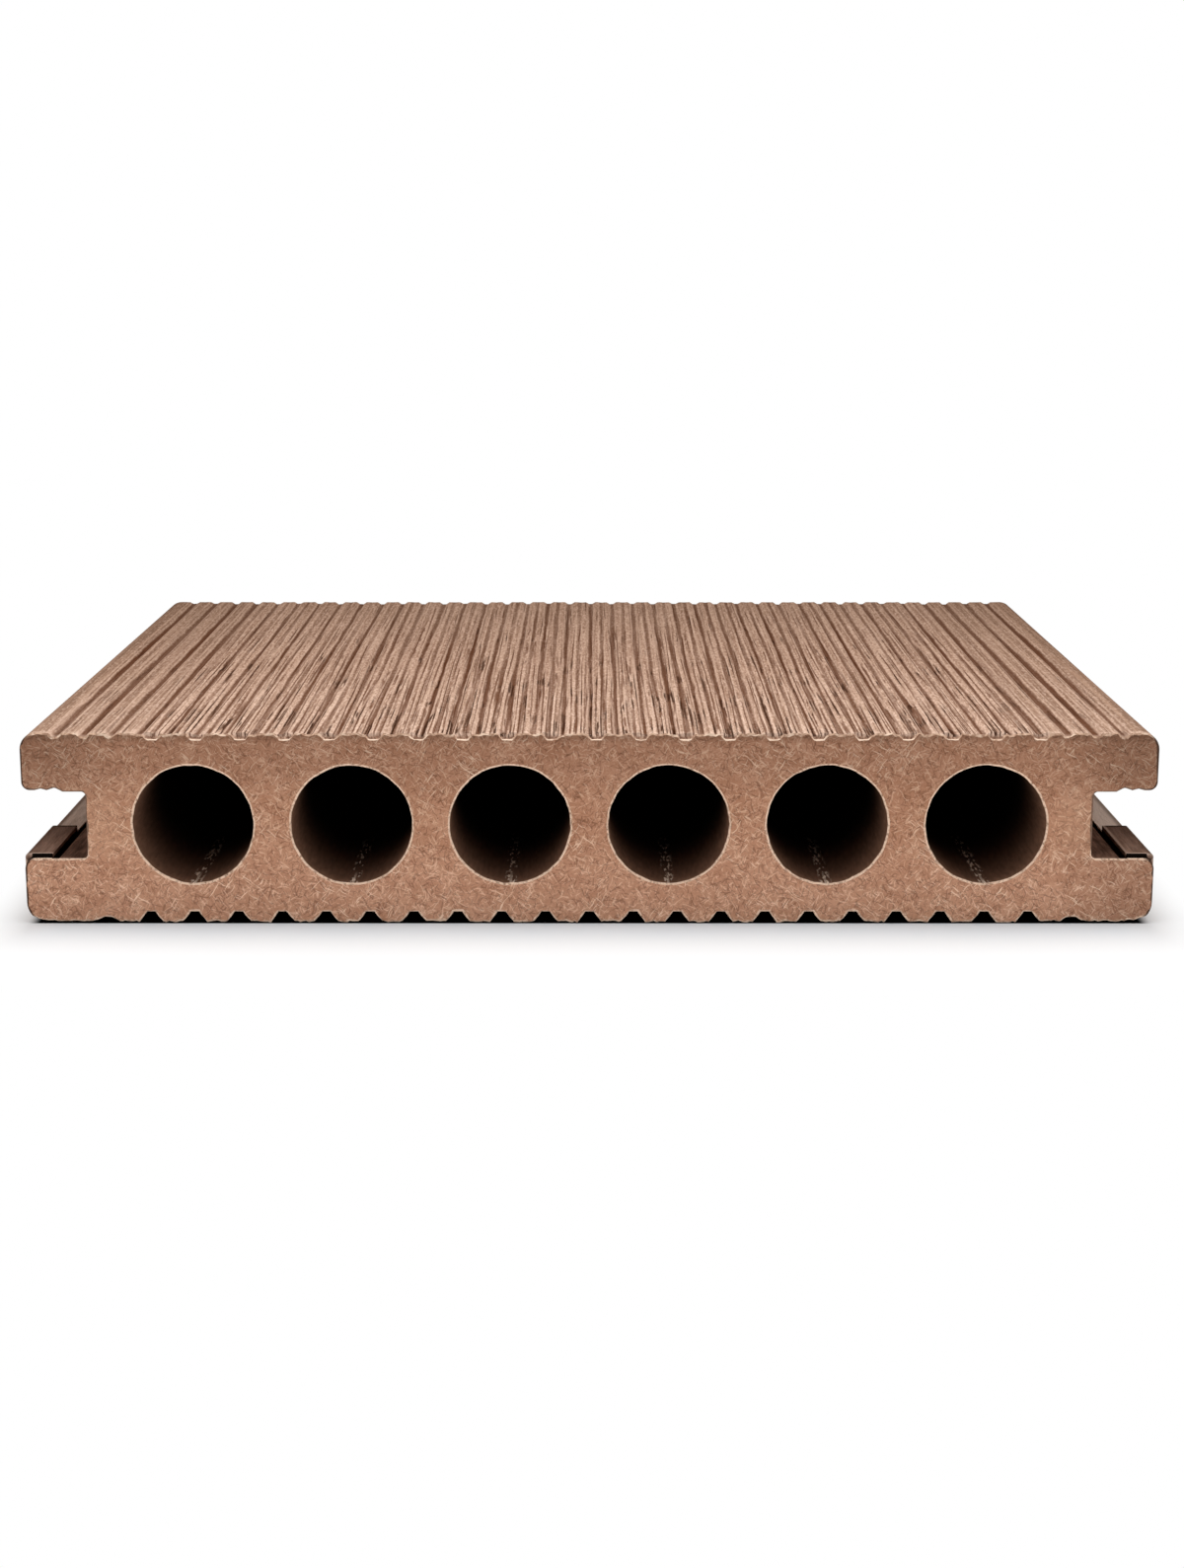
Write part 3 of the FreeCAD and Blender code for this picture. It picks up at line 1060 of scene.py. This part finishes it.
def sawn_shade(paint, colour):
    """The given colour, darker toward the top and on the lips, and warmer beside the slots."""
    edge = paint.section.edge
    level = paint.maths("DIVIDE", paint.axis("Z"), paint.section.top * MM)
    colour = paint.mixed(1.0, colour, paint.ramp(level, *SAWN_SHADE), "MULTIPLY")
    block = paint.faded(paint.spread(level, 0.75, 0.6), paint.spread(level, 0.33, 0.42))
    block = paint.faded(block, paint.from_side(15.0, 11.5))
    colour = paint.over(colour, SAWN_BLOCK, block, 0.14)
    lips = paint.faded(paint.from_side(15.0, 3.0), paint.spread(level, 0.55, 0.75))
    colour = paint.over(colour, BLACK, lips, 0.2)
    right = paint.spread(paint.axis("X"), (edge - 15.0) * MM, (edge - 2.0) * MM)
    lower = paint.weighed((paint.spread(level, 0.4, 0.7), -0.14), (1.0, 0.23))
    return paint.over(colour, BLACK, right, lower)


def sawn_material(section):
    """Sawn end: pinkish brown with short curved fibres and a few dark flecks, darker toward the top."""
    made, paint = new_material("sawn_end", section)
    fine = paint.grain((0.3, 0.3, 0.3), detail=2.0, rough=0.6)
    patch = paint.grain((3.2, 3.2, 2.4), detail=2.0, bend=0.8, shift=4.3)
    broad = paint.grain((16.0, 16.0, 12.0), detail=2.0, shift=6.9)
    flecks = paint.grain((0.3, 0.3, 0.22), detail=1.5, bend=0.3, shift=8.8)
    colour = paint.ramp(paint.weighed((fine, 0.5), (patch, 0.5)), *SAWN_STOPS)
    colour = paint.over(colour, SAWN_PATCH, paint.spread(broad, 0.4, 0.65), 0.25)
    colour = paint.over(colour, SAWN_FLECK, paint.spread(flecks, 0.34, 0.26), 0.5)
    colour, relief = fibrous(paint, colour, fine)
    colour = sawn_shade(paint, colour)
    paint.surface(colour, 0.85, 0.1)
    paint.bumps(paint.weighed((relief, 1.0), (patch, 0.6)), 0.6, 0.12)
    return made


# Colours of the torn edges
TORN_DARK = (0.36, 0.20, 0.13)
TORN_PALE = (0.66, 0.44, 0.31)
TORN_FIBRE = (0.88, 0.66, 0.50)
TORN_LEDGE = (0.92, 0.70, 0.54)
TORN_RIM_AND_HIGHLIGHT = (0.97, 0.70, 0.52)
TORN_SLOT_SHADE = (0.10, 0.048, 0.029)
TORN_SIDE_SHADE = (0.08, 0.042, 0.027)


def broken_material(section):
    """Torn edge between the sawn end and the skin: pale, bare fibre, but painted shade in the slots and at the
    two sides.
    """
    made, paint = new_material("torn_edge", section)
    fine = paint.grain((0.4, 0.4, 0.4), detail=2.0, rough=0.6, shift=2.2)
    torn = paint.grain((1.4, 1.4, 0.7), detail=2.0, shift=9.4)
    colour = paint.mixed(paint.spread(fine, 0.3, 0.7), TORN_DARK, TORN_PALE)
    colour = paint.over(colour, TORN_FIBRE, paint.spread(torn, 0.5, 0.62), 0.8)
    ledge = paint.spread(paint.mask("notch"), 0.75, 0.98)
    colour = paint.over(colour, TORN_LEDGE, ledge, paint.spread(torn, 0.25, 0.55))
    below = paint.from_top(1.5, 2.5)
    # Pale fibre and painted highlight on the rims below the top edge
    colour = paint.over(colour, TORN_RIM_AND_HIGHLIGHT, below, paint.spread(fine, 0.25, 0.6))
    above_lip = paint.spread(paint.axis("Z"), 9.5 * MM, 10.5 * MM)
    in_slot = paint.faded(above_lip, paint.from_top(5.8, 6.6))
    in_slot = paint.faded(in_slot, paint.from_side(9.6, 9.0))
    # Painted shade on the torn edges inside the slots
    colour = paint.over(colour, TORN_SLOT_SHADE, in_slot, 0.85)
    # Painted shade on the torn edges at the two sides
    colour = paint.over(colour, TORN_SIDE_SHADE, paint.from_side(1.6, 0.5))
    paint.surface(colour, 0.8, 0.05)
    paint.bumps(fine, 0.5, 0.1)
    return made


# Colours of the bores
BORE_DARK = (0.12, 0.06, 0.037)
BORE_PALE = (0.30, 0.158, 0.100)
BORE_DEEP_SHADE = (0.012, 0.008, 0.006)
BORE_CRUMB = (1.0, 0.78, 0.62)


def bore_material(section):
    """Dark skin of the bores, with painted shade darker away from the ends, and a pale crumbly seam along the
    bottom.
    """
    made, paint = new_material("bore_skin", section)
    fine = paint.grain((0.5, 3.0, 0.5), detail=3.0, rough=0.6)
    colour = paint.mixed(fine, BORE_DARK, BORE_PALE)
    # Painted shade, darker away from the ends
    colour = paint.over(colour, BORE_DEEP_SHADE, paint.from_ends(0.0, 26.0))
    off = paint.mask("seam")
    line = paint.faded(paint.spread(off, 0.22, 0.1), paint.from_ends(7.0, 3.0))
    crumbs = paint.spread(paint.grain((0.36, 1.7, 0.36), shift=6.1), 0.555, 0.62)
    crumbs = paint.faded(paint.spread(off, 0.95, 0.3), crumbs)
    seam = paint.maths("MAXIMUM", paint.faded(line, 0.5), crumbs)
    colour = paint.over(colour, BORE_CRUMB, seam, paint.from_ends(30.0, 9.0))
    paint.surface(colour, 0.9, 0.0)
    paint.bumps(fine, 0.4, 0.1)
    return made


# Colours of the floor
FLOOR_PALE = (0.91, 0.91, 0.915)
FLOOR_SHADED = (0.83, 0.90, 0.955)
FLOOR_PAINTED_SHADOW = (0.004, 0.004, 0.004)
WHITE = (1.0, 1.0, 1.0, 1.0)


def floor_material(section):
    """Pale floor with a painted shadow in the gap under the board, that turns into plain white away from it."""
    made, paint = new_material("pale_floor", section)
    close = paint.faded(paint.from_ends(-12.0, 0.0), paint.from_ends(2.0, 0.0))
    close = paint.faded(close, paint.from_side(-2.0, 6.0))
    # Painted shadow, dark on the floor under the board
    painted_shadow = paint.faded(paint.from_side(0.0, 1.5), paint.from_ends(0.0, 0.1))
    colour = paint.mixed(close, FLOOR_PALE, FLOOR_SHADED)
    colour = paint.over(colour, FLOOR_PAINTED_SHADOW, painted_shadow)
    shader = paint.surface(colour, 0.9, 0.0)
    # Near the board the blend into glowing white is painted light that fades the cast shadow beside and ahead
    # of it
    beside = paint.climb(paint.off_middle("X"), (section.edge - 1.5) * MM, (section.edge + 7.0) * MM)
    ahead = paint.climb(paint.off_middle("Y"), section.back * MM, (section.back + 30.0) * MM)
    away = paint.node("VectorMath", {"operation": "LENGTH"}, Vector=paint.place).outputs["Value"]
    plain = paint.maths("MAXIMUM", beside, ahead)
    plain = paint.maths("MAXIMUM", plain, paint.spread(away, 0.1, 0.2))
    white = paint.node("Emission", Color=WHITE, Strength=1.0)
    both = paint.node("MixShader", Fac=paint.faded(paint.shown(), plain))
    paint.plug(both.inputs[1], shader.outputs[0])
    paint.plug(both.inputs[2], white.outputs[0])
    paint.plug(paint.tree.nodes["Material Output"].inputs["Surface"], both.outputs[0])
    return made


def build_floor(section):
    """Floor under the board."""
    mesh = bpy.data.meshes.new("floor")
    corners = ((-1, -1), (1, -1), (1, 1), (-1, 1))
    points = [(x * FLOOR_REACH, y * FLOOR_REACH, -FLOOR_DROP) for x, y in corners]
    mesh.from_pydata(points, [], [(0, 1, 2, 3)])
    mesh.materials.append(floor_material(section))
    made = bpy.data.objects.new("floor", mesh)
    bpy.context.scene.collection.objects.link(made)


def build_world():
    """Even white surroundings; they light the scene less than they show."""
    world = bpy.data.worlds.new("studio")
    bpy.context.scene.world = world
    world.use_nodes = True
    paint = Nodes(world.node_tree, "Generated")
    lit = paint.weighed((paint.off_middle("X"), SIDE_LIGHT), (1.0, FRONT_LIGHT))
    back = world.node_tree.nodes["Background"]
    paint.plug(back.inputs["Color"], WHITE)
    paint.plug(back.inputs["Strength"], paint.maths("MAXIMUM", paint.shown(), lit))


def add_lamp():
    """A soft rectangular lamp above the board, facing down."""
    lamp = bpy.data.lights.new("softbox", "AREA")
    lamp.shape = "RECTANGLE"
    lamp.size, lamp.size_y = LAMP_SIZE
    lamp.energy = LAMP_POWER
    made = bpy.data.objects.new("softbox", lamp)
    made.location = LAMP_PLACE
    made.rotation_euler = (Vector(LAMP_AIM) - Vector(LAMP_PLACE)).to_track_quat("-Z", "Y").to_euler()
    bpy.context.scene.collection.objects.link(made)


def add_camera():
    """The photo's camera."""
    lens = bpy.data.cameras.new("camera")
    lens.lens = CAMERA_LENS
    lens.clip_start = CAMERA_CLIP
    made = bpy.data.objects.new("camera", lens)
    made.location = CAMERA_PLACE
    made.rotation_euler = (math.radians(90.0 - CAMERA_PITCH), 0.0, math.radians(CAMERA_YAW))
    bpy.context.scene.collection.objects.link(made)
    bpy.context.scene.camera = made


section = Section(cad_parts["decking_board"])
finishes = [
    skin_material(section),
    sawn_material(section),
    broken_material(section),
    bore_material(section),
]
board = build_board(section, finishes)
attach(board, "root")
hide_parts("decking_board")
build_floor(section)
build_world()
add_lamp()
add_camera()
bpy.context.scene.view_settings.view_transform = "Standard"
